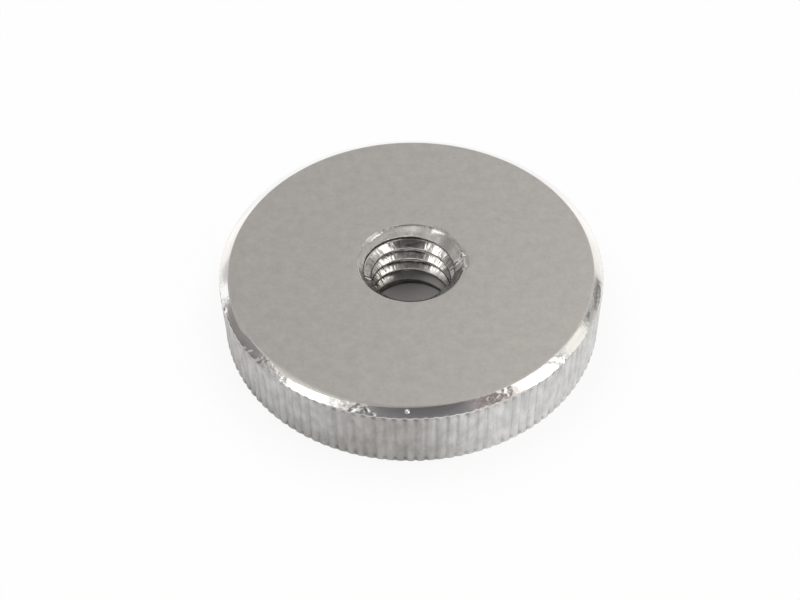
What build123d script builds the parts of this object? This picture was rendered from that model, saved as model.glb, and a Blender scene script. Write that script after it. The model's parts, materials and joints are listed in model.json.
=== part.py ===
from build123d import *

import math
import os

# Thin knurled nut, turned from one piece of stainless bar: a flat disc with a straight-knurled
# rim, a bevel round both faces, and a threaded through hole, countersunk at the top face and
# only lightly broken at the underside.
#
# Millimetres, +Z up along the thread axis. The origin is the centre of the underside.

# Rim
rim_diameter = 20.0  # over the crests of the knurl
thickness = 4.0  # underside to top face
bevel_width = 0.55  # radial width of the bevel round each face
bevel_angle = 30.0  # slope of the bevel from the face, degrees

# Straight knurl
knurl_pitch = 0.50  # from one groove to the next, round the rim
groove_width = 0.30  # across one groove, from crest to crest
groove_angle = 120.0  # between the two flanks of a groove, degrees

# Threaded hole
thread_diameter = 5.0  # nominal size, over the thread's major diameter
thread_pitch = 0.80
countersink_diameter = 5.6  # where the countersink meets the top face
underside_sink_diameter = 4.5  # where the light break meets the underside
countersink_angle = 90.0  # included angle of both, degrees

# The ISO metric profile leaves the hole's wall, the minor diameter, this many pitches
# smaller across than the nominal size: two times 5/8 of the sharp triangle's height.
MINOR_DIAMETER_PITCHES = 2 * 5 / 8 * math.sqrt(3) / 2

# The knurled bar and the turned blank overshoot each other by this much, so that no
# face of one lies in a face of the other where they are intersected.
overshoot = 0.5


def knurled_bar():
    """The rim's cross-section, a ring of V-grooves, drawn out past both faces."""
    rim_radius = rim_diameter / 2
    groove_count = round(math.pi * rim_diameter / knurl_pitch)
    step = 2 * math.pi / groove_count
    half_crest = step / 2 - math.asin(groove_width / 2 / rim_radius)
    # A groove's mouth is a chord, a little inside the rim's own radius.
    mouth_radius = rim_radius * math.cos(step / 2 - half_crest)
    groove_depth = groove_width / 2 / math.tan(math.radians(groove_angle / 2))
    root_radius = mouth_radius - groove_depth

    outline = []
    for index in range(groove_count):
        crest = index * step
        outline.append(polar_point(rim_radius, crest - half_crest))
        outline.append(polar_point(rim_radius, crest + half_crest))
        outline.append(polar_point(root_radius, crest + step / 2))
    section = make_face(Polyline(outline, close=True))
    bar = extrude(section, amount=thickness + 2 * overshoot)
    return Pos(0, 0, -overshoot) * bar


def polar_point(radius, angle):
    """A point in the XY plane, from its radius and its angle in radians."""
    return (radius * math.cos(angle), radius * math.sin(angle))


def turned_blank():
    """The turned section, revolved: both faces, both bevels, the hole and its two ends."""
    bevel_slope = math.tan(math.radians(bevel_angle))
    face_radius = rim_diameter / 2 - bevel_width
    outer_radius = rim_diameter / 2 + overshoot
    bevel_height = (outer_radius - face_radius) * bevel_slope

    hole_radius = (thread_diameter - MINOR_DIAMETER_PITCHES * thread_pitch) / 2
    sink_slope = math.tan(math.radians(countersink_angle / 2))
    sink_radius = countersink_diameter / 2
    sink_depth = (sink_radius - hole_radius) / sink_slope
    break_radius = underside_sink_diameter / 2
    break_depth = (break_radius - hole_radius) / sink_slope

    section = make_face(
        Polyline(
            (hole_radius, break_depth),
            (break_radius, 0),
            (face_radius, 0),
            (outer_radius, bevel_height),
            (outer_radius, thickness - bevel_height),
            (face_radius, thickness),
            (sink_radius, thickness),
            (hole_radius, thickness - sink_depth),
            close=True,
        )
    )
    return revolve(Plane.XZ * section, Axis.Z)


os.makedirs("parts", exist_ok=True)
nut = turned_blank() & knurled_bar()
nut.label = "knurled_nut"
export_step(nut, "parts/knurled_nut.step")
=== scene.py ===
import json
import math

import bpy
import numpy as np
from mathutils import Matrix, Vector


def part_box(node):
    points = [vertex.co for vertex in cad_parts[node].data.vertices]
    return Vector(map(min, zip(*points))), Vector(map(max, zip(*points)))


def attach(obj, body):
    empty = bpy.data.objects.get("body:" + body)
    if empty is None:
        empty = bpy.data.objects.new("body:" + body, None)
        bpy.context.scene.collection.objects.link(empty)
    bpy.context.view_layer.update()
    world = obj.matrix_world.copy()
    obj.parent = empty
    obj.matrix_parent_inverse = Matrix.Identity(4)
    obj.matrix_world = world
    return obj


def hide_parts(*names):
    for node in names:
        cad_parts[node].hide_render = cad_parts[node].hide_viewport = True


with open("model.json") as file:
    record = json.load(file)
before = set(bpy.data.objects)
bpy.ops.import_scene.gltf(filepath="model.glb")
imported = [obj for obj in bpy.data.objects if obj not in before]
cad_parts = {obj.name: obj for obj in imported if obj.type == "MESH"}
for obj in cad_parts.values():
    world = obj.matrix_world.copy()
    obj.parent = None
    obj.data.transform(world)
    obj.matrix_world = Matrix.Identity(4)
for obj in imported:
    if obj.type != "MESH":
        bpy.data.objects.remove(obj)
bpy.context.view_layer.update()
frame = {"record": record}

# Looks for a thin knurled nut in stainless steel. Metres, in the nut's own frame:
# +Z up along the thread, origin at the centre of the underside, -Y towards the viewer.
#
# An azimuth is a place round the nut in degrees: 0 nearest the viewer, positive to the viewer's
# right. A stretch is two azimuths and the soft edge beyond each, in degrees. A pattern of relief
# is how many cells it has round the nut, and how high a cell is.

MM = 0.001
SEED = 467
NODE = "knurled_nut"

# -------------------- sizes

# What the frame gives
low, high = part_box(NODE)
rim_radius = (high.x - low.x) / 2
thickness = high.z - low.z
thread_mount = next(m for m in frame["record"]["mounts"] if m["name"] == "thread")
minor_radius = thread_mount["dims"]["r_mm"] * MM
bore_length = thread_mount["dims"]["length_mm"] * MM
break_depth = thread_mount["pos_m"][2] - bore_length / 2
sink_depth = thickness - break_depth - bore_length
sink_radius = minor_radius + sink_depth
break_radius = minor_radius + break_depth

# What the frame doesn't hold, as the solid has it
bevel_angle = math.radians(30)
bevel_slope = math.tan(bevel_angle)
bevel_width = 0.55 * MM
face_radius = rim_radius - bevel_width
tooth_count = 126
groove_angle = math.radians(120)
groove_width = 0.30 * MM
groove_depth = groove_width / 2 / math.tan(groove_angle / 2)

# The thread, which is in the scene alone. Its flanks are worn a little away from 30 degrees.
thread_pitch = 0.80 * MM
major_radius = 2.52 * MM
root_flat = 0.20 * MM
lower_flank_angle = math.radians(36)  # the flank that faces up, from the level
upper_flank_angle = math.radians(24)
THREAD_START = 0.32  # where in its turn the thread starts
ROOT_PHASE = 0.58  # where in its turn the root lies, the crest being at the start

# The grooves' depth where they run out at the top and the lower bevel, as a share of the whole.
# Burrs have narrowed them at the top; below they are almost open.
END_DEPTH = 0.35
LOWER_END_DEPTH = 0.95

# Width of the rings that lie flat on the two faces, round the bevels' and the hole's edges
BEVEL_RING = 0.4 * MM
SINK_RING = 0.5 * MM
BREAK_RING = 0.3 * MM

# -------------------- mesh density

COLUMNS_PER_TOOTH = 10
RIM_COLUMNS = tooth_count * COLUMNS_PER_TOOTH
BORE_SHARE = 4  # rim columns for each column of the bore
BORE_COLUMNS = RIM_COLUMNS // BORE_SHARE
BORE_ROWS = 88
CORNER_ROWS = 5  # rows that round a corner at one of the faces
EDGE_ROWS = 4  # rows that round the edge between a bevel and the knurl
BEVEL_ROWS = 10
LOWER_BEVEL_SHARES = (0.33, 0.67)
WALL_SHARES = (
    0.012, 0.03, 0.055, 0.09, 0.14, 0.21, 0.30, 0.40, 0.50,
    0.60, 0.70, 0.79, 0.86, 0.91, 0.945, 0.97, 0.988,
)

rng = np.random.default_rng(SEED)


# -------------------- geometry helpers

def degrees_from(azimuth, place):
    """How far azimuths lie from a place round the nut, from -180 to 180 degrees."""
    return np.mod(azimuth - place + 180, 360) - 180


def arc_from(azimuth, place, radius):
    """The same distance in mm, along a circle of this radius."""
    return degrees_from(azimuth, place) * math.pi / 180 * radius / MM


def azimuths(columns):
    """Each column's azimuth. The first lies at +X, and the viewer is 90 degrees before it."""
    return degrees_from(np.arange(columns) * 360 / columns, -90)


def rise(value, start, run):
    """0 up to a start, then growing evenly to 1 over a run."""
    return np.clip((value - start) / run, 0, 1)


def fall(value, start, run):
    """1 up to a start, then falling evenly to 0 over a run."""
    return np.clip(1 - (value - start) / run, 0, 1)


def bump_at(value, place, spread):
    """A smooth bump from 0 to 1 and back, round a place."""
    return np.exp(-((value - place) / spread) ** 2)


def zone(azimuth, start, end, soft):
    """1 over a stretch, falling to 0 over its soft edges."""
    from_middle = np.abs(degrees_from(azimuth, (start + end) / 2))
    return fall(from_middle, (end - start) / 2, soft)


def zones(azimuth, weighted_stretches, base=0):
    """A base value plus several stretches, each times the amount it starts with."""
    total = base
    for amount, *stretch in weighted_stretches:
        total = total + amount * zone(azimuth, *stretch)
    return total


def relief(height, columns, pattern, skew=0.0):
    """Smooth random relief from -1 to 1 over a closed band, shifted round by the skew, in turns
    for each metre down."""
    cells, cell_height = pattern
    share = np.arange(columns) / columns + skew * height
    across = np.mod(share * cells, cells)
    down = (height - height.min()) / cell_height
    grid = rng.uniform(-1, 1, (int(down.max()) + 2, cells))
    column = np.floor(across).astype(int)
    row = np.floor(down).astype(int)
    u = across - column
    v = down - row
    u = u * u * (3 - 2 * u)
    v = v * v * (3 - 2 * v)
    column = column % cells
    beyond = (column + 1) % cells
    above = grid[row, column] * (1 - u) + grid[row, beyond] * u
    below = grid[row + 1, column] * (1 - u) + grid[row + 1, beyond] * u
    return above * (1 - v) + below * v


def corner_rows(corner_r, corner_z, before, after, trim, steps):
    """Rows of points that round one corner of the section, a Bezier arc. It starts and ends a
    trim away from the corner, in the directions that lie before and after it."""
    rows = []
    for t in np.linspace(0, 1, steps):
        back = trim * (1 - t) ** 2
        on = trim * t ** 2
        r = corner_r + back * before[0] + on * after[0]
        z = corner_z + back * before[1] + on * after[1]
        rows.append((r, z))
    return rows


def straight_rows(start, end, shares):
    """Rows of points along a straight run of the section, at these shares of it."""
    run_r = end[0] - start[0]
    run_z = end[1] - start[1]
    return [(start[0] + run_r * share, start[1] + run_z * share) for share in shares]


def ring_grid(rows, columns):
    """Section rows, each a radius and a height for every column, as a grid of 3-D points."""
    angle = np.linspace(0, 2 * math.pi, columns, endpoint=False)
    r = np.array([np.broadcast_to(row[0], columns) for row in rows])
    z = np.array([np.broadcast_to(row[1], columns) for row in rows])
    return np.stack([r * np.cos(angle), r * np.sin(angle), z], axis=2)


def radius_of(grid):
    """Each point's distance from the nut's axis."""
    return np.linalg.norm(grid[..., :2], axis=2)


def run_length(grid):
    """How far down the section each point of a grid lies, from its first row."""
    step = np.linalg.norm(np.diff(grid, axis=0), axis=2)
    return np.concatenate([np.zeros((1, grid.shape[1])), np.cumsum(step, axis=0)])


def push(grid, distance):
    """A grid of points moved by these distances along its own normals, positive out of the rim's
    metal and into the bore's."""
    along = np.roll(grid, -1, axis=1) - np.roll(grid, 1, axis=1)
    down = np.gradient(grid, axis=0)
    normal = np.cross(down, along)
    normal /= np.maximum(np.linalg.norm(normal, axis=2, keepdims=True), 1e-12)
    return grid + normal * distance[..., None]


def keep_inside(grid):
    """A grid of points held inside the solid's own box."""
    radius = np.linalg.norm(grid[..., :2], axis=2, keepdims=True)
    grid[..., :2] *= np.minimum(1, rim_radius / radius)
    grid[..., 2] = np.clip(grid[..., 2], 0, thickness)
    return grid


# -------------------- dents, nicks and burrs

# Dents in the top bevel: azimuth, place across the bevel from 0 at the face to 1 at the rim,
# length round the rim, width across the bevel and depth in mm, slant in degrees, and how far the
# deepest point lies towards one end.
DENTS = (
    (-11.5, 0.85, 0.10, 0.05, 0.018, 10, 0),
    (-13.5, 0.60, 0.12, 0.05, 0.016, -20, 0),
    (-15.5, 0.35, 0.16, 0.06, 0.014, 15, 0),
    (-17.5, 0.80, 0.14, 0.06, 0.018, 30, 0),
    (-54.5, 0.75, 0.16, 0.06, 0.018, 40, 0),
    (-57.0, 0.90, 0.10, 0.05, 0.015, 30, 0),
    (-50.5, 0.80, 0.14, 0.05, 0.016, 40, 0),
    (-73.2, 0.85, 0.12, 0.06, 0.018, 0, 0),
    (21.0, 0.45, 0.12, 0.05, 0.014, 30, 0.5),
    (24.0, 0.60, 0.15, 0.04, 0.014, 20, 0.5),
    (27.5, 0.30, 0.16, 0.05, 0.014, 25, 0),
    (44.5, 0.25, 0.25, 0.06, 0.016, -20, 0),
    (46.5, 0.75, 0.20, 0.05, 0.014, -25, 0),
)

# Flat nicks cut into the bevel, and flat burrs that stand out of the countersink: azimuth, place
# across the bevel or distance down from the face in mm, half its length and half its width in mm,
# slant in degrees, and depth or height at its steep end in mm.
BEVEL_NICKS = ((-2.4, 0.44, 0.085, 0.085, -62, 0.047),)
SINK_BURRS = (
    (82.0, 0.03, 0.11, 0.14, 180, 0.100),
    (102.0, 0.03, 0.12, 0.14, 180, 0.100),
    (99.0, 0.45, 0.12, 0.10, 180, 0.030),
)
STEEP_END = 0.2  # how far the steep end takes to level out, as a share of half the length
BURNISHED = 1.4  # how far round a burr the metal is bright, as a share of the burr's size
SLOPE_STRETCH = 1.15  # a distance down the bevel's slope, for 1 of its radial width


def turned(along, down, slant):
    """Distances along and across a mark, from those round the nut and down its section."""
    c, s = math.cos(math.radians(slant)), math.sin(math.radians(slant))
    return along * c - down * s, along * s + down * c


def dent_shape(along, down, length, width, slant, lean):
    """The depth of one rounded dent, 1 in the middle, at these distances from it."""
    lengthwise, widthwise = turned(along, down, slant)
    hollow = np.exp(-(lengthwise / length) ** 2 - (widthwise / width) ** 2)
    return hollow * np.maximum(1 + lean * lengthwise / length, 0)


def nick_shape(along, down, length, width, slant):
    """The depth of one flat nick or burr, which grows evenly to 1 at a steep end."""
    lengthwise, widthwise = turned(along, down, slant)
    ramp = np.clip((1 + lengthwise / length) / 2, 0, 1)
    end = np.clip((1 + STEEP_END - lengthwise / length) / STEEP_END, 0, 1)
    return ramp * end * np.exp(-(widthwise / width) ** 4)


def bevel_distances(azimuth, across, place, share):
    """How far points of the bevel lie round it and down it from one place on it, in mm."""
    down = (across - share) * bevel_width / MM * SLOPE_STRETCH
    return arc_from(azimuth, place, rim_radius), down


def sink_burrs(z):
    """How far the countersink's burrs stand out at each point, in mm, and how burnished it is."""
    azimuth = azimuths(BORE_COLUMNS)
    height = np.zeros(z.shape)
    shine = np.zeros(z.shape)
    for place, down, length, width, slant, peak in SINK_BURRS:
        along = arc_from(azimuth, place, sink_radius)
        below = (thickness - z) / MM - down
        height += peak * nick_shape(along, below, length, width, slant)
        shine += np.exp(-(along / (BURNISHED * length)) ** 4 - (below / (BURNISHED * width)) ** 4)
    return height, np.clip(shine, 0, 1)


# -------------------- the rim

# The face's outer corner: how far it is trimmed in mm, and how much further on its worn side,
# whose middle and spread follow. Within that side one stretch is sharper.
FACE_TRIM = 0.05
WORN_FACE_TRIM = 0.22
WORN_SIDE = -45
WORN_SPREAD = 32
SHARP_STRETCH = (-58, -47, 5)
SHARPNESS = 0.8
EDGE_TRIM = 0.03 * MM  # the same where the bevel meets the knurl

# The knurl: its shallowest groove, as a share of the deepest; how much a groove's depth changes
# down the wall; how far it leaves its line, as a share of the pitch; and its crests' wear in mm.
# All but the first fade out over a length at each end of the wall.
SHALLOWEST = 0.70
DEPTH_CHANGE = 0.30
DEPTH_PATTERN = (tooth_count, 1.3 * MM)
WANDER = 0.07
WANDER_PATTERN = (tooth_count // 2, 1.6 * MM)
CREST_WEAR = 0.008
CREST_PATTERN = (70, 1.1 * MM)
CREST_CURVE = 1.4  # over 1, a groove's flanks are hollow and its crests sharp
FADE_LENGTH = 0.5 * MM

# The groove ends: over what length they open, and the pit that a burr leaves inside each
END_LENGTH = 0.12 * MM
PIT_DEPTH = 0.35
PIT_PLACE = 0.14 * MM
PIT_SPREAD = 0.10 * MM

# Torn patches of the top bevel: how badly it is torn there, the stretch, and whether the tearing
# grows from nothing at the face to its worst at the rim.
TORN_PATCHES = (
    (0.75, (-24, -15, 3), False),
    (0.9, (-48, -39, 3), False),
    (0.8, (-59, -50, 3), True),
    (0.65, (18, 28, 2), False),
    (0.6, (44, 48, 2), False),
    (0.3, (48, 62, 3), False),
    (0.2, (65, 80, 3), False),
    (0.35, (-82, -77, 3), False),
)
TEAR_GRIME = 0.30  # the deposit where it is torn worst; it fades faster than the tearing does

# Relief of the top bevel, heights in mm: its crown, the slanted streaks, how much stronger they
# are where it is torn, and the flecks there. The rest of the rim is only slightly uneven.
CROWN = 0.010
STREAK_HEIGHT = 0.0008
TORN_STREAK_HEIGHT = 0.002
STREAK_PATTERN = (150, 0.09 * MM)
STREAK_SLANT = math.radians(15)
FLECK_HEIGHT = 0.0045
FLECK_PATTERN = (420, 0.12 * MM)
FINE_HEIGHT = 0.003
FINE_PATTERN = (700, 0.07 * MM)
UNEVENNESS = 0.004
UNEVEN_PATTERN = (252, 0.3 * MM)


def tooth_radius(shift, depth, crest_wear):
    """The rim's radius at each column: rolled V-grooves between narrow crests."""
    step = 2 * math.pi * rim_radius / tooth_count
    along = np.mod(np.arange(RIM_COLUMNS) / COLUMNS_PER_TOOTH + shift, 1)
    from_root = np.abs(along - 0.5) * step
    share = np.minimum(from_root / (groove_width / 2), 1)
    return rim_radius - np.maximum(depth * (1 - share ** CREST_CURVE), crest_wear)


def for_each_tooth(least):
    """A random value from this least one to 1 for each groove, at all of its columns."""
    values = rng.uniform(least, 1.0, tooth_count)
    return values[np.arange(RIM_COLUMNS) // COLUMNS_PER_TOOTH]


def rim_rows():
    """Rows from the top face over the bevel, the knurled wall and the lower bevel to the
    underside: those above the wall, the wall's and those below it."""
    azimuth = azimuths(RIM_COLUMNS)
    tooth_depth = groove_depth * for_each_tooth(SHALLOWEST)
    edge = tooth_radius(0, END_DEPTH * tooth_depth, 0)
    lower_edge = tooth_radius(0, LOWER_END_DEPTH * tooth_depth, 0)

    down_bevel = (math.cos(bevel_angle), -math.sin(bevel_angle))
    up_bevel = (-down_bevel[0], -down_bevel[1])
    sharp = SHARPNESS * zone(azimuth, *SHARP_STRETCH)
    worn_side = bump_at(degrees_from(azimuth, WORN_SIDE), 0, WORN_SPREAD) * (1 - sharp)
    trim = (FACE_TRIM + WORN_FACE_TRIM * worn_side) * MM
    bevel_start = (face_radius + trim * down_bevel[0], thickness + trim * down_bevel[1])

    def half_section(edge_radius, shares):
        """The top face's corner, the bevel at these shares of it, and its outer edge."""
        edge_z = thickness - (edge_radius - face_radius) * bevel_slope
        bevel_end = (edge_radius + EDGE_TRIM * up_bevel[0], edge_z + EDGE_TRIM * up_bevel[1])
        rows = [(face_radius - BEVEL_RING, thickness)]
        rows += corner_rows(face_radius, thickness, (-1, 0), down_bevel, trim, CORNER_ROWS)
        rows += straight_rows(bevel_start, bevel_end, shares)
        return rows + corner_rows(edge_radius, edge_z, up_bevel, (0, -1), EDGE_TRIM, EDGE_ROWS)

    top = half_section(edge, np.linspace(0, 1, BEVEL_ROWS + 2)[1:-1])
    mirrored = half_section(lower_edge, LOWER_BEVEL_SHARES)
    bottom = [(r, thickness - np.asarray(z)) for r, z in reversed(mirrored)]
    return top, wall_rows(top[-1][1], bottom[0][1], tooth_depth), bottom


def wall_rows(wall_top, wall_bottom, tooth_depth):
    """Rows down the knurled wall, with each groove's own changes and its ends."""
    z = np.array([wall_top + (wall_bottom - wall_top) * share for share in WALL_SHARES])
    fading = DEPTH_CHANGE * relief(z, RIM_COLUMNS, DEPTH_PATTERN)
    wander = WANDER * relief(z, RIM_COLUMNS, WANDER_PATTERN)
    worn = (CREST_WEAR + CREST_WEAR * relief(z, RIM_COLUMNS, CREST_PATTERN)) * MM
    from_end = np.minimum(wall_top - z, z - wall_bottom)
    end_depth = np.where(wall_top - z < z - wall_bottom, END_DEPTH, LOWER_END_DEPTH)
    hold = rise(from_end, 0, FADE_LENGTH)
    opening = rise(from_end, 0, END_LENGTH)
    pit = PIT_DEPTH * bump_at(from_end, PIT_PLACE, PIT_SPREAD)
    wall = []
    for row in range(len(WALL_SHARES)):
        depth = tooth_depth * (1 + fading[row] * hold[row] + pit[row])
        depth = depth * (end_depth[row] + (1 - end_depth[row]) * opening[row])
        radius = tooth_radius(wander[row] * hold[row], depth, worn[row] * hold[row])
        wall.append((radius, z[row]))
    return wall


def worn_rim(grid, first, last):
    """The rim's grid with its wear, most of it on the top bevel, whose first and last rows these
    are; and how badly the bevel is torn at each point."""
    azimuth = azimuths(RIM_COLUMNS)
    run = run_length(grid)
    across = np.clip((run - run[first]) / (run[last] - run[first]), 0, 1)
    height = run[:, :1] + np.zeros((1, RIM_COLUMNS))
    on_bevel = np.zeros((grid.shape[0], 1))
    on_bevel[first:last + 1] = 1

    crown = CROWN * 4 * across * (1 - across)
    skew = 1 / (2 * math.pi * rim_radius * math.tan(STREAK_SLANT))
    streaks = relief(height, RIM_COLUMNS, STREAK_PATTERN, skew)
    flecks = relief(height, RIM_COLUMNS, FLECK_PATTERN)
    fine = relief(height, RIM_COLUMNS, FINE_PATTERN)
    torn = np.zeros(grid.shape[:2])
    for amount, stretch, outward in TORN_PATCHES:
        patch = amount * zone(azimuth, *stretch)
        torn = torn + (patch * across if outward else patch)
    wear = crown + torn * (FLECK_HEIGHT * flecks + FINE_HEIGHT * fine)
    wear = wear + (STREAK_HEIGHT + TORN_STREAK_HEIGHT * torn) * streaks
    for place, share, length, width, depth, slant, lean in DENTS:
        along, down = bevel_distances(azimuth, across, place, share)
        wear = wear - depth * dent_shape(along, down, length, width, slant, lean)
    for place, share, length, width, slant, depth in BEVEL_NICKS:
        along, down = bevel_distances(azimuth, across, place, share)
        wear = wear - depth * nick_shape(along, down, length, width, slant)
    uneven = UNEVENNESS * relief(height, RIM_COLUMNS, UNEVEN_PATTERN)
    distance = wear * on_bevel + uneven * (1 - on_bevel)
    distance[0] = 0
    distance[-1] = 0
    return keep_inside(push(grid, distance * MM)), np.clip(torn, 0, 1) * on_bevel


# -------------------- the bore

# The countersink's edge: how far it is rounded in mm, and further over these stretches, and how
# far it is knocked back over one of them. The break at the underside is rounded too.
SINK_TRIM = 0.06
SINK_WORN = ((0.12, -144, -128, 8), (0.12, 138, 155, 5), (0.12, 82, 103, 6))
SINK_DENT = 0.08 * MM
SINK_DENT_STRETCH = (85, 100, 12)
BREAK_TRIM = 0.05 * MM

# Where the countersink and the lower break run out into the thread their edge is ragged, and worn
# round over a small width. The cone's dull finish gives way to the thread's over another.
RAGGEDNESS = 0.05 * MM
RAGGED_PATTERN = (17, 5 * MM)
RAGGED_FADE = 0.5 * MM
EDGE_BLEND = 0.025 * MM
DULL_BLEND = 0.03 * MM

# The thread's profile: points in its table, and how far its corners are rounded, in those points
THREAD_SAMPLES = 400
THREAD_ROUNDING = 10

# Relief in the hole: height in mm, then the pattern. The countersink is scuffed, the thread torn.
TORN_THREAD = (
    (0.006, (80, 0.30 * MM)),
    (0.004, (40, 0.08 * MM)),
    (0.003, (126, 0.09 * MM)),
)
SCUFFED_SINK = (
    (0.008, (42, 0.25 * MM)),
    (0.003, (126, 0.10 * MM)),
)
SCUFF_DEPTH = 0.6 * MM  # how deep the scuffing goes
SCUFF_FADE = 0.2 * MM
SMOOTH_EDGE = 0.10 * MM  # how deep the countersink is smoother, below its edge
SMOOTH_FADE = 0.15 * MM
SMOOTH_SHARE = 0.15


def thread_radius(phase):
    """The thread's radius at a share of one pitch, its corners rounded by the tap and by wear."""
    table_phase = (np.arange(THREAD_SAMPLES) + 0.5) / THREAD_SAMPLES
    above_root = (table_phase - ROOT_PHASE) * thread_pitch
    lower_flank = major_radius - (-above_root - root_flat / 2) / math.tan(lower_flank_angle)
    upper_flank = major_radius - (above_root - root_flat / 2) / math.tan(upper_flank_angle)
    sharp = np.clip(np.minimum(lower_flank, upper_flank), minor_radius, major_radius)
    reach = 4 * THREAD_ROUNDING
    kernel = np.exp(-0.5 * (np.arange(-reach, reach + 1) / THREAD_ROUNDING) ** 2)
    kernel /= kernel.sum()
    tiled = np.concatenate([sharp[-reach:], sharp, sharp[:reach]])
    smooth = np.convolve(tiled, kernel, mode="valid")
    return np.interp(np.mod(phase, 1), table_phase, smooth, period=1)


def smooth_max(a, b, width):
    """The larger of two radii, blended over a small width, so that the edge between is round."""
    gap = np.clip(0.5 + 0.5 * (a - b) / width, 0, 1)
    return b + (a - b) * gap + width * gap * (1 - gap)


def bore_rows():
    """Rows from the countersink's edge down through the thread to the lower break's edge: those
    above the thread, its own and those below it; and how dull each point of them is."""
    azimuth = azimuths(BORE_COLUMNS)
    angle = np.linspace(0, 2 * math.pi, BORE_COLUMNS, endpoint=False)
    down_sink = (-math.sqrt(0.5), -math.sqrt(0.5))
    up_break = (-math.sqrt(0.5), math.sqrt(0.5))
    trim = zones(azimuth, SINK_WORN, SINK_TRIM) * MM
    edge = sink_radius + SINK_DENT * zone(azimuth, *SINK_DENT_STRETCH)
    top = [(sink_radius + SINK_RING, thickness)]
    top += corner_rows(edge, thickness, (1, 0), down_sink, trim, CORNER_ROWS)
    bottom = corner_rows(break_radius, 0, up_break, (1, 0), BREAK_TRIM, CORNER_ROWS)
    bottom += [(break_radius + BREAK_RING, 0)]

    start_z = thickness + trim * down_sink[1]
    end_z = bottom[0][1]
    shares = np.linspace(0, 1, BORE_ROWS + 2)[1:-1]
    z = start_z + (end_z - start_z) * shares[:, None]
    ragged = RAGGEDNESS * relief(z, BORE_COLUMNS, RAGGED_PATTERN)
    sink = edge - (thickness - z) + ragged * rise(thickness - z, 0, RAGGED_FADE)
    lower_break = break_radius - z - ragged * rise(z, 0, RAGGED_FADE)
    cone = np.maximum(sink, lower_break)
    thread = thread_radius(z / thread_pitch - angle / (2 * math.pi) - THREAD_START)
    r = smooth_max(thread, cone, EDGE_BLEND)
    inside = [(r[row], z[row]) for row in range(BORE_ROWS)]

    rising = np.linspace(0, 1, CORNER_ROWS)[:, None] * np.ones(BORE_COLUMNS)
    rising = np.concatenate([np.zeros((1, BORE_COLUMNS)), rising])
    on_cone = np.clip((cone - thread) / DULL_BLEND + 0.5, 0, 1)
    return top, inside, bottom, np.concatenate([rising, on_cone, rising[::-1]])


def layered_relief(height, layers):
    """The sum of several reliefs of the hole, each of its own height and pattern."""
    total = 0
    for amount, pattern in layers:
        total = total + amount * relief(height, BORE_COLUMNS, pattern)
    return total


def worn_bore(grid):
    """The bore's grid with torn thread flanks and a scuffed, burred countersink."""
    z = grid[..., 2]
    depth = thickness - z
    in_sink = fall(depth, SCUFF_DEPTH, SCUFF_FADE)
    torn = layered_relief(z, TORN_THREAD)
    scuffed = layered_relief(z, SCUFFED_SINK)
    below_edge = np.clip((depth - SMOOTH_EDGE) / SMOOTH_FADE, SMOOTH_SHARE, 1)
    distance = torn * (1 - in_sink) + scuffed * in_sink * below_edge
    distance = distance + sink_burrs(z)[0]
    distance[0] = 0
    distance[-1] = 0
    return keep_inside(push(grid, -distance * MM))


# -------------------- painted shade and grime

# The knurl's painted shade and grime: all along its grooves, darker the deeper, by how much it
# differs round the nut (painted darker at the front left and the far side and lighter at the right,
# as the light falls), and painted shade at the grooves' ends, round a place this far in. Every
# groove has this share of it at least.
GROOVE_SHADE_AND_GRIME = 0.18
GROOVE_SHADE_BY_SIDE = ((0.8, -22, -2, 8), (-0.5, 6, 60, 8), (1.2, 115, 245, 20))
END_SHADE_AND_GRIME = 0.62
END_SHADE_PLACE = 0.15 * MM
END_SHADE_SPREAD = 0.15 * MM
LEAST_GROOVE_SHARE = 0.4
RIM_PATCHINESS = 0.2
RIM_PATCHES = (tooth_count, 0.8 * MM)

# The hole's painted shade, by amount and stretch: in the thread's roots, in a crescent under the
# countersink's far edge, deep in its far wall, on both flanks, and low on the countersink's sides
BORE_PATCHES = (30, 0.5 * MM)
SHADE_PATCH_MEAN, SHADE_PATCH_SWING = 0.7, 0.5  # how patchy it is
ROOT_SHADE = 0.4
ENTRY_FADE = 0.15 * MM
CRESCENT_SHADE = 0.87
CRESCENT_STRETCH = (178, 188, 26)
CRESCENT_PLACE = 0.05 * MM
CRESCENT_HEIGHT = 0.36 * MM
CRESCENT_START = 0.15 * MM
CRESCENT_FADE = 0.06 * MM
FAR_WALL_SHADE = ((0.35, 166, 194, 16),)
FAR_WALL_START = 1.4 * MM
FAR_WALL_FADE = 0.6 * MM
FLANK_SHADE = ((0.40, 206, 275, 8), (0.20, 229, 275, 6), (0.40, 85, 122, 8))
SINK_SIDE_SHADE = ((0.55, 106, 132, 10), (0.22, 228, 275, 12))
SINK_SIDE_FADE = 0.1 * MM
TOP_UNSHADED = 0.12 * MM  # over what depth the painted shade starts below the top face
BOTTOM_UNSHADED = 0.1 * MM  # the same above the underside, for the painted shade and the deep shade

# Painted shade over the deepest turns, matt as well, lessened over one stretch and a little
# on the crests
DEEP_SHADE_MEAN, DEEP_SHADE_SWING = 0.85, 0.3
DEEP_SHADE_START = 2.50 * MM
DEEP_SHADE_FADE = 0.35 * MM
DEEP_SHADE_THINNED = (206, 262, 8)
DEEP_SHADE_THINNING = 0.85
CREST_SHADE_THINNING = 0.4
CREST_HEIGHT = 0.12 * MM
DEEPEST_SHADE_START = 3.25 * MM
DEEPEST_SHADE_FADE = 0.2 * MM


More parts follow.
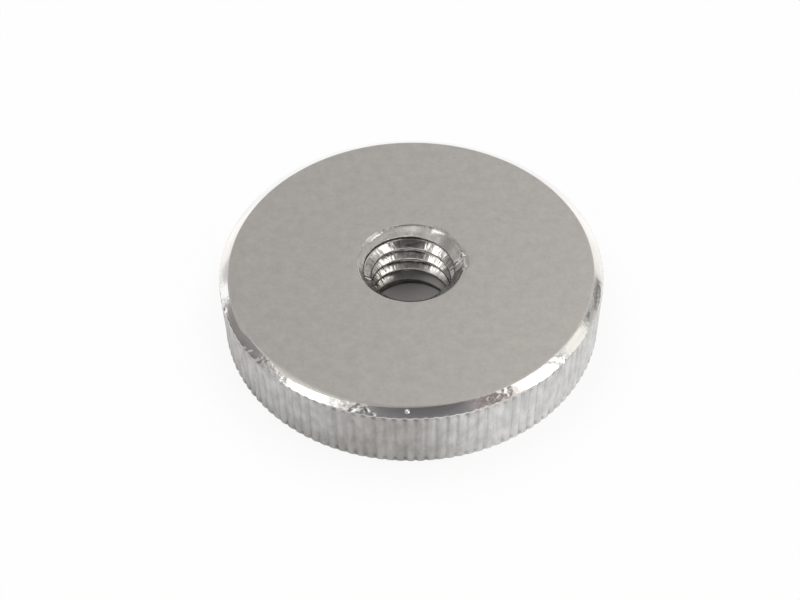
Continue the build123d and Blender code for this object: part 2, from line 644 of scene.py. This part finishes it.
def rim_shade_and_grime(grid, wall_start, wall_end):
    """Painted shade and grime in the knurl's grooves, most where they run out at the bevels."""
    wall = grid[wall_start:wall_end]
    z = wall[..., 2]
    in_groove = rise(rim_radius - radius_of(wall), 0, groove_depth)
    wall_edge = thickness - bevel_width * bevel_slope
    from_end = np.minimum(wall_edge - z, z - (thickness - wall_edge))
    at_end = bump_at(from_end, END_SHADE_PLACE, END_SHADE_SPREAD)
    groove_share = for_each_tooth(LEAST_GROOVE_SHARE)
    # painted shade: the grooves darker at the front left and far side, lighter at the right
    side = zones(azimuths(RIM_COLUMNS), GROOVE_SHADE_BY_SIDE, 1)
    uneven = relief(z, RIM_COLUMNS, RIM_PATCHES)
    patchy = groove_share * (1 - RIM_PATCHINESS + RIM_PATCHINESS * uneven)
    grime = np.zeros(grid.shape[:2])
    # painted shade: darker deeper in a groove and at the grooves' ends
    painted_shade_and_grime = in_groove * (GROOVE_SHADE_AND_GRIME * side + END_SHADE_AND_GRIME * at_end) * patchy
    grime[wall_start:wall_end] = np.clip(painted_shade_and_grime, 0, 1)
    return grime


def bore_painted_shade(grid):
    """Painted shade in the thread's roots, under the countersink's far edge and deep in the hole.
    """
    z = grid[..., 2]
    depth = thickness - z
    azimuth = azimuths(BORE_COLUMNS)
    in_root = rise(radius_of(grid), minor_radius, major_radius - minor_radius) ** 2
    in_thread = rise(depth, sink_depth, ENTRY_FADE)
    patchy = SHADE_PATCH_MEAN + SHADE_PATCH_SWING * relief(z, BORE_COLUMNS, BORE_PATCHES)
    far_side = zone(azimuth, *CRESCENT_STRETCH) ** 0.5
    height = CRESCENT_HEIGHT * far_side + 0.001 * MM  # never 0
    crescent = np.exp(-((depth - sink_depth - CRESCENT_PLACE) / height) ** 4) * far_side
    crescent = crescent * rise(depth - sink_depth, -CRESCENT_START, CRESCENT_FADE)
    far_wall = zones(azimuth, FAR_WALL_SHADE) * rise(depth, FAR_WALL_START, FAR_WALL_FADE)
    flanks = zones(azimuth, FLANK_SHADE) * patchy
    sink_sides = zones(azimuth, SINK_SIDE_SHADE) * fall(depth, sink_depth, SINK_SIDE_FADE)
    # painted shade in the roots, the crescent, the far wall, the flanks and the countersink's sides
    painted_shade_and_grime = ROOT_SHADE * in_root * in_thread + CRESCENT_SHADE * crescent + sink_sides * patchy
    painted_shade_and_grime += (far_wall + flanks) * in_thread
    return np.clip(painted_shade_and_grime, 0, 1) * (rise(depth, 0, TOP_UNSHADED) * rise(z, 0, BOTTOM_UNSHADED))


def bore_deep_shade(grid):
    """Painted shade over the deepest turns of the thread, matt as well, lessened on one side."""
    z = grid[..., 2]
    depth = thickness - z
    patchy = DEEP_SHADE_MEAN + DEEP_SHADE_SWING * relief(z, BORE_COLUMNS, BORE_PATCHES)
    on_crest = fall(radius_of(grid), minor_radius, CREST_HEIGHT)
    shade_kept = 1 - DEEP_SHADE_THINNING * zone(azimuths(BORE_COLUMNS), *DEEP_SHADE_THINNED)
    # painted shade deep in the hole, darker towards the bottom
    film = rise(depth, DEEP_SHADE_START, DEEP_SHADE_FADE) * patchy * shade_kept
    film = film * (1 - CREST_SHADE_THINNING * on_crest) + rise(depth, DEEPEST_SHADE_START, DEEPEST_SHADE_FADE)
    return np.clip(film, 0, 1) * rise(z, 0, BOTTOM_UNSHADED)


# -------------------- the mesh

FACE, BEVEL, KNURL, BORE = range(4)  # the materials' places on the mesh
FACE_STRIPS = CORNER_ROWS  # strips of the rim with the face's finish, as far as its worn corner


def quad_strip(upper, lower, columns):
    """Quads between two rings of equal length, given by their first vertex."""
    here = np.arange(columns)
    beyond = (here + 1) % columns
    pairs = zip(here.tolist(), beyond.tolist())
    return [(upper + a, lower + a, lower + b, upper + b) for a, b in pairs]


def face_fan(inner, outer, flip):
    """Triangles that join a bore ring to a rim ring of BORE_SHARE times as many vertices."""
    triangles = []
    half = BORE_SHARE // 2
    for i in range(BORE_COLUMNS):
        here = inner + i
        beyond = inner + (i + 1) % BORE_COLUMNS
        for k in range(BORE_SHARE):
            first = outer + (i * BORE_SHARE + k) % RIM_COLUMNS
            second = outer + (i * BORE_SHARE + k + 1) % RIM_COLUMNS
            triangles.append((here if k < half else beyond, first, second))
        triangles.append((here, outer + i * BORE_SHARE + half, beyond))
    if flip:
        triangles = [(a, c, b) for a, b, c in triangles]
    return triangles


def nut_faces(rim_count, bore_count, knurl_start, knurl_end):
    """All faces between so many rim rows and bore rows, and the material that each one has."""
    faces = []
    slots = []

    def add_faces(new, slot):
        faces.extend(new)
        slots.extend([slot] * len(new))

    for row in range(rim_count - 1):
        if row < FACE_STRIPS or row >= rim_count - 1 - FACE_STRIPS:
            slot = FACE
        else:
            slot = KNURL if knurl_start <= row < knurl_end else BEVEL
        first = row * RIM_COLUMNS
        add_faces(quad_strip(first, first + RIM_COLUMNS, RIM_COLUMNS), slot)
    bore_start = rim_count * RIM_COLUMNS
    for row in range(bore_count - 1):
        first = bore_start + row * BORE_COLUMNS
        on_face = row in (0, bore_count - 2)
        add_faces(quad_strip(first + BORE_COLUMNS, first, BORE_COLUMNS), FACE if on_face else BORE)
    last_rim = (rim_count - 1) * RIM_COLUMNS
    last_bore = bore_start + (bore_count - 1) * BORE_COLUMNS
    add_faces(face_fan(bore_start, 0, False), FACE)
    add_faces(face_fan(last_bore, last_rim, True), FACE)
    return faces, slots


def build_nut(materials):
    """The whole nut as one closed mesh: the rim's rings, the bore's, and the two flat faces."""
    rim_top, wall, rim_bottom = rim_rows()
    wall_start = len(rim_top)
    wall_end = wall_start + len(wall)
    rim = ring_grid(rim_top + wall + rim_bottom, RIM_COLUMNS)
    rim, torn = worn_rim(rim, 1, wall_start - 1)
    bore_top, inside, bore_bottom, bore_dull = bore_rows()
    bore = ring_grid(bore_top + inside + bore_bottom, BORE_COLUMNS)
    bore = worn_bore(bore)
    vertices = np.concatenate([rim.reshape(-1, 3), bore.reshape(-1, 3)])

    torn[:FACE_STRIPS + 1] = 0
    # painted shade in the knurl's grooves, and grime where the bevel is torn
    rim_shade_and_tear_grime = np.maximum(rim_shade_and_grime(rim, wall_start - 1, wall_end + 1), TEAR_GRIME * torn ** 2)
    rim_zeros = np.zeros(rim.shape[:2])
    burnished = sink_burrs(bore[..., 2])[1]
    attributes = {
        "grime": (rim_shade_and_tear_grime, bore_painted_shade(bore)),
        "dull": (rim_zeros, bore_dull * (1 - burnished)),
        "film": (rim_zeros, bore_deep_shade(bore)),
    }
    faces, slots = nut_faces(
        rim.shape[0], bore.shape[0], wall_start - EDGE_ROWS, wall_end + EDGE_ROWS - 1
    )

    mesh = bpy.data.meshes.new("turned_nut")
    mesh.from_pydata(vertices.tolist(), [], faces)
    mesh.polygons.foreach_set("material_index", slots)
    mesh.polygons.foreach_set("use_smooth", [True] * len(faces))
    for name, (on_rim, in_bore) in attributes.items():
        values = np.concatenate([on_rim.ravel(), in_bore.ravel()]).astype(np.float32)
        mesh.attributes.new(name, "FLOAT", "POINT").data.foreach_set("value", values)
    for material in materials:
        mesh.materials.append(material)
    mesh.validate()
    mesh.update()
    nut = bpy.data.objects.new("turned_nut", mesh)
    bpy.context.scene.collection.objects.link(nut)
    return nut


# -------------------- materials

SHADE_AND_GRIME_TONE = (0.165, 0.16, 0.155)
SHADE_AND_GRIME_ROUGHNESS = 0.5
SHADE_AND_GRIME_MATT = (0.88, 1.0)  # from how much painted shade and grime the metal starts to lose its gloss
DULL_LIGHT = (0.60, 0.59, 0.575)
DULL_DARK = (0.48, 0.47, 0.46)
DULL_ROUGHNESS = 0.26
DEEP_SHADE_TONE = (0.36, 0.355, 0.34)
DEEP_SHADE_ROUGHNESS = 0.5

BLOTCH_RANGE = (0.35, 0.65)  # the noise between which one tone turns into the other
GLOSS_RANGE = (0.3, 0.7)  # the same for the least and the greatest roughness
GLOSS_FINENESS = 2.3  # scale of the uneven gloss, for 1 of the blotches
GRAIN_DETAIL = (4.0, 0.6)
GRAIN_STRENGTH = 0.4
TEAR_SCALE = 15
TEAR_DETAIL = (2.0, 0.5)
TEAR_DRIFT = (60, 60, 120)  # how fast the tears change across and up the nut, for 1 round it

# ShaderNodeMix holds sockets for several kinds of data. These are the ones for colours.
MIX_FACTOR, MIX_FIRST, MIX_SECOND, MIX_RESULT = 0, 6, 7, 2


class NodeSheet:
    """A few short calls for building one material's or world's node tree."""

    def __init__(self, tree):
        self.tree = tree

    def set_input(self, node, name, value):
        if isinstance(value, bpy.types.NodeSocket):
            self.tree.links.new(value, node.inputs[name])
        else:
            node.inputs[name].default_value = value

    def add(self, kind, inputs=None, **settings):
        node = self.tree.nodes.new(kind)
        for name, value in settings.items():
            setattr(node, name, value)
        for name, value in (inputs or {}).items():
            self.set_input(node, name, value)
        return node

    def math(self, operation, first, second):
        node = self.add("ShaderNodeMath", {0: first, 1: second}, operation=operation)
        return node.outputs[0]

    def vector_math(self, operation, *values, output="Vector"):
        node = self.add("ShaderNodeVectorMath", dict(enumerate(values)), operation=operation)
        return node.outputs[output]

    def attribute(self, name):
        return self.add("ShaderNodeAttribute", attribute_name=name).outputs["Fac"]

    def noise(self, vector, scale, detail=3.0, roughness=0.55):
        inputs = {"Vector": vector, "Scale": scale, "Detail": detail, "Roughness": roughness}
        return self.add("ShaderNodeTexNoise", inputs).outputs["Fac"]

    def remap(self, value, from_low, from_high, to_low, to_high):
        inputs = {
            "Value": value,
            "From Min": from_low,
            "From Max": from_high,
            "To Min": to_low,
            "To Max": to_high,
        }
        return self.add("ShaderNodeMapRange", inputs).outputs["Result"]

    def stretch(self, vector, scale):
        return self.add("ShaderNodeMapping", {"Vector": vector, "Scale": scale}).outputs["Vector"]

    def mix_colour(self, factor, first, second):
        inputs = {MIX_FACTOR: factor, MIX_FIRST: first, MIX_SECOND: second}
        return self.add("ShaderNodeMix", inputs, data_type="RGBA").outputs[MIX_RESULT]

    def bump(self, height, strength, distance, below=None):
        inputs = {"Height": height, "Strength": strength, "Distance": distance}
        if below is not None:
            inputs["Normal"] = below
        return self.add("ShaderNodeBump", inputs).outputs["Normal"]


def steel(
    name,
    *,
    light,
    dark,
    roughness,
    blotch_scale,
    grain_scale,
    grain_depth,
    stretch=(1, 1, 1),
    tear_depth=0,
    blotch_detail=(3.0, 0.55),
):
    """Stainless steel: two close tones in blotches, uneven gloss, a fine grain and tears, with
    the dull places, the painted deep shade and the painted shade and grime that the mesh's
    attributes give."""
    material = bpy.data.materials.new(name)
    material.use_nodes = True
    sheet = NodeSheet(material.node_tree)
    shader = material.node_tree.nodes["Principled BSDF"]
    position = sheet.add("ShaderNodeTexCoord").outputs["Object"]
    stretched = sheet.stretch(position, stretch)
    dull, film, grime = (sheet.attribute(each) for each in ("dull", "film", "grime"))

    blotch = sheet.noise(stretched, blotch_scale, *blotch_detail)
    blotch = sheet.remap(blotch, *BLOTCH_RANGE, 0, 1)
    tone = sheet.mix_colour(blotch, (*dark, 1), (*light, 1))
    scuffed = sheet.mix_colour(blotch, (*DULL_DARK, 1), (*DULL_LIGHT, 1))
    tone = sheet.mix_colour(dull, tone, scuffed)
    # painted shade: the deep shade, then the shade and grime, darken the tone
    tone = sheet.mix_colour(film, tone, (*DEEP_SHADE_TONE, 1))
    tone = sheet.mix_colour(grime, tone, (*SHADE_AND_GRIME_TONE, 1))

    gloss = sheet.noise(stretched, blotch_scale * GLOSS_FINENESS)
    gloss = sheet.remap(gloss, *GLOSS_RANGE, *roughness)
    gloss = sheet.remap(dull, 0, 1, gloss, DULL_ROUGHNESS)
    gloss = sheet.remap(film, 0, 1, gloss, DEEP_SHADE_ROUGHNESS)
    gloss = sheet.remap(grime, *SHADE_AND_GRIME_MATT, gloss, SHADE_AND_GRIME_ROUGHNESS)

    grain = sheet.noise(stretched, grain_scale, *GRAIN_DETAIL)
    normal = sheet.bump(grain, GRAIN_STRENGTH, grain_depth)
    if tear_depth:
        level = sheet.vector_math("MULTIPLY", position, (1, 1, 0))
        round_axis = sheet.vector_math("NORMALIZE", level)
        drift = sheet.vector_math("MULTIPLY", position, TEAR_DRIFT)
        place = sheet.vector_math("ADD", round_axis, drift)
        tears = sheet.noise(place, TEAR_SCALE, *TEAR_DETAIL)
        normal = sheet.bump(tears, 1.0, tear_depth, normal)

    shader.inputs["Metallic"].default_value = 1.0
    sheet.set_input(shader, "Base Color", tone)
    sheet.set_input(shader, "Roughness", gloss)
    sheet.set_input(shader, "Normal", normal)
    return material


def nut_materials():
    """The finishes, in the order of their places on the mesh."""
    return (
        steel(
            "satin_face",
            light=(0.738, 0.717, 0.688),
            dark=(0.637, 0.615, 0.605),
            roughness=(0.37, 0.40),
            blotch_scale=1500,
            blotch_detail=(5.0, 0.85),
            grain_scale=14000,
            grain_depth=0.006 * MM,
        ),
        steel(
            "bright_bevel",
            light=(0.93, 0.925, 0.92),
            dark=(0.88, 0.875, 0.87),
            roughness=(0.08, 0.14),
            blotch_scale=600,
            grain_scale=9000,
            grain_depth=0.002 * MM,
            stretch=(1, 1, 12),
        ),
        steel(
            "knurled_rim",
            light=(0.74, 0.735, 0.73),
            dark=(0.56, 0.555, 0.55),
            roughness=(0.25, 0.42),
            blotch_scale=2200,
            grain_scale=7000,
            grain_depth=0.010 * MM,
            stretch=(1, 1, 0.5),
        ),
        steel(
            "threaded_bore",
            light=(0.72, 0.71, 0.69),
            dark=(0.62, 0.61, 0.59),
            roughness=(0.12, 0.22),
            blotch_scale=900,
            grain_scale=6000,
            grain_depth=0.003 * MM,
            stretch=(1, 1, 5),
            tear_depth=0.020 * MM,
        ),
    )


# -------------------- camera

CAMERA_ELEVATION = math.radians(47.6)
CAMERA_ROLL = math.radians(-1.16)
CAMERA_DISTANCE = 68.5 * MM
CAMERA_LENS = 59.2
SENSOR_WIDTH = 36
NEAR_CLIP = 1 * MM
NUT_ASIDE = Vector((0.57 * MM, -1.97 * MM))  # how far the nut lies right of and below the axis


def add_camera():
    """The photo's camera, placed from the top face's centre."""
    forward = Vector((0, math.cos(CAMERA_ELEVATION), -math.sin(CAMERA_ELEVATION)))
    level_right = Vector((1, 0, 0))
    level_down = forward.cross(level_right)
    right = math.cos(CAMERA_ROLL) * level_right - math.sin(CAMERA_ROLL) * level_down
    down = math.sin(CAMERA_ROLL) * level_right + math.cos(CAMERA_ROLL) * level_down
    centre = Vector((0, 0, thickness))
    place = centre - NUT_ASIDE.x * right - NUT_ASIDE.y * down - CAMERA_DISTANCE * forward

    data = bpy.data.cameras.new("photo_camera")
    data.lens = CAMERA_LENS
    data.sensor_width = SENSOR_WIDTH
    data.clip_start = NEAR_CLIP
    camera = bpy.data.objects.new("photo_camera", data)
    turn = Matrix((right, -down, -forward)).transposed()
    camera.matrix_world = Matrix.Translation(place) @ turn.to_4x4()
    bpy.context.scene.collection.objects.link(camera)
    bpy.context.scene.camera = camera
    return camera


# -------------------- studio

WHITE = (1, 1, 1, 1)

# Soft boxes: name, the azimuth at which the bevel mirrors each, how much steeper its crown is
# there than its turned slope (flatter, below 0), and radius, all in degrees; then brightness and
# colour.
SOFT_BOXES = (
    ("right_softbox", 38.8, 2.5, 7.7, 3.3, (1.0, 0.985, 0.93)),
    ("left_softbox", -31, 3.5, 7.9, 2.3, (0.99, 0.99, 0.98)),
)
SOFT_BOX_DISTANCE = 0.25

# Round panels, placed by azimuth and steepness in the same way: radius and soft edge in degrees,
# then colour. A later one lies over those before it.
PANELS = (
    (23, 0, 5, 4, (0.30, 0.24, 0.225)),  # brown edge
    (1.5, 0, 15.5, 4, (0.228, 0.218, 0.223)),  # shade overhead
    (1.5, -5, 10, 8, (0.14, 0.132, 0.136)),  # its core
    (55.8, 0, 6.2, 2.2, (1.02, 1.0, 0.93)),  # right panel
    (-61, 0, 10, 5, (0.215, 0.206, 0.206)),  # shade at the left
    (-62, -4.5, 6, 7, (0.28, 0.264, 0.255)),  # its inner part
    (-72.4, -0.8, 4.0, 0.8, (0.28, 0.268, 0.262)),  # its end
    (-88.5, -1.8, 3.4, 2.5, (0.60, 0.60, 0.59)),  # grey beyond it
    (-79.6, -2.4, 3.2, 0.8, (1.12, 1.12, 1.12)),  # bright corner at the left, inner
    (-79.6, 0.2, 3.2, 0.8, (1.12, 1.12, 1.12)),  # middle
    (-79.6, 2.8, 3.2, 0.8, (1.12, 1.12, 1.12)),  # and outer part
    (66, -1.2, 1.7, 1.3, (0.18, 0.178, 0.17)),  # four dark lines at the far right
    (71.5, 0.8, 1.8, 1.4, (0.24, 0.237, 0.23)),
    (75.5, 0.2, 2.1, 1.4, (0.15, 0.147, 0.14)),
    (79.5, 0, 2.0, 1.5, (0.17, 0.167, 0.16)),
)

# Larger panels, placed by azimuth and elevation, under the others: radius and soft edge in
# degrees, then colour.
SIDE_PANELS = (
    (0, 14, 14, 12, (0.45, 0.44, 0.43)),  # low in front
    (0, 40, 10, 8, (1.25, 1.22, 1.18)),  # bright in front
    (0, 59, 10, 5, (0.20, 0.196, 0.19)),  # shade above it
    (-27, 57, 7, 5, (0.28, 0.275, 0.265)),  # to its left
    (27, 57, 7, 5, (0.28, 0.275, 0.265)),  # and right
    (36, 10, 10, 10, (2.2, 2.15, 2.05)),  # low at the right
    (-158, 47, 12, 20, (0.44, 0.43, 0.415)),  # behind, at the left
)

# The sky's brightness at these heights above the table, as the sine of the elevation. Round the
# camera it has a tone of its own: radius and soft edge in degrees, then colour.
SKY = (
    (0.0, 1.15), (0.30, 0.93), (0.42, 0.58), (0.65, 0.50),
    (0.75, 0.80), (0.86, 1.42), (0.94, 0.5), (1.0, 0.4),
)
SKY_TINT = (1.0, 0.975, 0.94)
FRONT_SKY = (20, 20, (0.84, 0.825, 0.79))

FLOOR_HALF = 0.6
FLOOR_DROP = 0.002 * MM  # below the underside, so that the two don't lie in one plane
FLOOR_COLOUR = (0.80, 0.80, 0.80, 1)
FLOOR_ROUGHNESS = 0.8
FLOOR_SPECULAR = 0.2

# How much of the floor glows plain white, not lit, by place in metres: from, to, and the shares
# there. The camera sees it whiter away from the nut, the metal mostly at the sides, where the glow
# it mirrors is painted light, brighter at the right than at the left; the near part of the floor in
# the hole has a faint painted light.
UNDER_NUT = (face_radius * 0.9, face_radius, 0, 1)
IN_HOLE = (break_radius, 0.8 * MM, 0.0, 0.05)
TO_CAMERA = (rim_radius, rim_radius + 2.5 * MM, 0.90, 0.975)
AT_LEFT = (-3 * MM, -9 * MM, 0.0, 0.5)
AT_CONTACT = (rim_radius, rim_radius + 1.6 * MM, 0.15, 1.0)
AT_RIGHT = (0.5 * MM, 5 * MM, 0.0, 0.90)
FAR_OFF = (rim_radius + 4 * MM, rim_radius + 8 * MM, 0.0, 1.0)


def level_direction(azimuth):
    """The level direction out from the nut's axis at an azimuth."""
    side = math.radians(azimuth)
    return Vector((math.sin(side), -math.cos(side), 0))


def bevel_mirrors(camera, azimuth, steeper):
    """The direction that the bevel shows the camera at this azimuth, where it is so many degrees
    steeper than the turned slope."""
    outward = level_direction(azimuth)
    slope = bevel_angle + math.radians(steeper)
    normal = math.sin(slope) * outward + Vector((0, 0, math.cos(slope)))
    point = outward * (face_radius + bevel_width / 2) + Vector((0, 0, thickness))
    towards = (camera.matrix_world.translation - point).normalized()
    return 2 * normal.dot(towards) * normal - towards


def world_panels(camera):
    """All panels as direction, radius, soft edge and colour, the lowest first."""
    panels = [(camera.matrix_world.translation.normalized(), *FRONT_SKY)]
    for azimuth, elevation, *look in SIDE_PANELS:
        level = math.cos(math.radians(elevation)) * level_direction(azimuth)
        panels.append((level + Vector((0, 0, math.sin(math.radians(elevation)))), *look))
    for azimuth, steeper, *look in PANELS:
        panels.append((bevel_mirrors(camera, azimuth, steeper), *look))
    return panels


def sky_brightness(sheet, height):
    """The sky's brightness at a height, as a curve between the points of SKY."""
    node = sheet.add("ShaderNodeFloatCurve", {"Value": height})
    curve = node.mapping.curves[0]
    brightest = max(brightness for _, brightness in SKY)
    while len(curve.points) < len(SKY):
        curve.points.new(0.5, 0.5)
    for point, (place, brightness) in zip(curve.points, SKY):
        point.location = (place, brightness / brightest)
        point.handle_type = "VECTOR"
    node.mapping.update()
    return sheet.math("MULTIPLY", node.outputs[0], brightest)


def add_world(camera):
    """The studio's surroundings, which light and mirror in the nut, and plain white behind it."""
    world = bpy.data.worlds.new("studio")
    bpy.context.scene.world = world
    world.use_nodes = True
    world.node_tree.nodes.clear()
    sheet = NodeSheet(world.node_tree)
    direction = sheet.add("ShaderNodeTexCoord").outputs["Generated"]
    height = sheet.add("ShaderNodeSeparateXYZ", {"Vector": direction}).outputs["Z"]
    sky = sky_brightness(sheet, height)
    tinted = sheet.add("ShaderNodeVectorMath", {0: SKY_TINT, "Scale": sky}, operation="SCALE")
    colour = tinted.outputs["Vector"]
    for centre, size, edge, tone in world_panels(camera):
        facing = sheet.vector_math("DOT_PRODUCT", direction, tuple(centre), output="Value")
        outer = math.cos(math.radians(size + edge))
        inner = math.cos(math.radians(size))
        colour = sheet.mix_colour(sheet.remap(facing, outer, inner, 0, 1), colour, (*tone, 1))
    lit = sheet.add("ShaderNodeBackground", {"Color": colour, "Strength": 1.0})
    white = sheet.add("ShaderNodeBackground", {"Color": WHITE, "Strength": 1.0})
    seen = sheet.add("ShaderNodeLightPath").outputs["Is Camera Ray"]
    mix = sheet.add("ShaderNodeMixShader", {0: seen, 1: lit.outputs[0], 2: white.outputs[0]})
    sheet.add("ShaderNodeOutputWorld", {"Surface": mix.outputs[0]})


def floor_material():
    """A white table that keeps the nut's shadow and shows plain white round it. It also glows
    with painted light beside the nut, which the knurl mirrors, and faintly in the hole.
    """
    material = bpy.data.materials.new("white_table")
    material.use_nodes = True
    sheet = NodeSheet(material.node_tree)
    shader = material.node_tree.nodes["Principled BSDF"]
    shader.inputs["Base Color"].default_value = FLOOR_COLOUR
    shader.inputs["Roughness"].default_value = FLOOR_ROUGHNESS
    shader.inputs["Specular IOR Level"].default_value = FLOOR_SPECULAR
    path = sheet.add("ShaderNodeLightPath")
    position = sheet.add("ShaderNodeTexCoord").outputs["Object"]
    place = sheet.add("ShaderNodeSeparateXYZ", {"Vector": position})
    side = place.outputs["X"]
    from_centre = sheet.vector_math("LENGTH", position, output="Value")

    # painted light: the near part of the floor in the hole glows a little
    in_hole = sheet.remap(place.outputs["Y"], *IN_HOLE)
    clear = sheet.math("MAXIMUM", sheet.remap(from_centre, *UNDER_NUT), in_hole)
    contact = sheet.remap(from_centre, *AT_CONTACT)
    # painted light: beside the nut the metal mirrors a glow, brighter at the right than the left
    left = sheet.math("MULTIPLY", sheet.remap(side, *AT_LEFT), contact)
    beside = sheet.math("ADD", left, sheet.remap(side, *AT_RIGHT))
    to_metal = sheet.math("MAXIMUM", beside, sheet.remap(from_centre, *FAR_OFF))
    to_camera = sheet.remap(from_centre, *TO_CAMERA)
    to_camera = sheet.math("MULTIPLY", path.outputs["Is Camera Ray"], to_camera)
    to_metal = sheet.math("MULTIPLY", path.outputs["Is Glossy Ray"], to_metal)
    share = sheet.math("MULTIPLY", sheet.math("MAXIMUM", to_camera, to_metal), clear)

    white = sheet.add("ShaderNodeEmission", {"Color": WHITE, "Strength": 1.0}).outputs[0]
    mix = sheet.add("ShaderNodeMixShader", {0: share, 1: shader.outputs[0], 2: white})
    output = material.node_tree.nodes["Material Output"]
    sheet.set_input(output, "Surface", mix.outputs[0])
    return material


def add_floor():
    half = FLOOR_HALF
    corners = [(-half, -half, 0), (half, -half, 0), (half, half, 0), (-half, half, 0)]
    mesh = bpy.data.meshes.new("floor")
    mesh.from_pydata(corners, [], [(0, 1, 2, 3)])
    mesh.materials.append(floor_material())
    floor = bpy.data.objects.new("floor", mesh)
    floor.location.z = -FLOOR_DROP
    bpy.context.scene.collection.objects.link(floor)


def add_softbox(camera, name, azimuth, steeper, size, brightness, colour):
    """A round lamp that faces the nut. A brightness of 1 is that of plain white."""
    towards = bevel_mirrors(camera, azimuth, steeper)
    radius = SOFT_BOX_DISTANCE * math.tan(math.radians(size))
    data = bpy.data.lights.new(name, "AREA")
    data.shape = "DISK"
    data.size = 2 * radius
    data.energy = brightness * math.pi ** 2 * radius ** 2
    data.color = colour
    lamp = bpy.data.objects.new(name, data)
    lamp.location = SOFT_BOX_DISTANCE * towards
    lamp.rotation_euler = (-towards).to_track_quat("-Z", "Y").to_euler()
    bpy.context.scene.collection.objects.link(lamp)


# -------------------- the scene

bpy.context.scene.view_settings.view_transform = "Standard"
camera = add_camera()
add_world(camera)
add_floor()
for soft_box in SOFT_BOXES:
    add_softbox(camera, *soft_box)

nut = build_nut(nut_materials())
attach(nut, "root")
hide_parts(NODE)
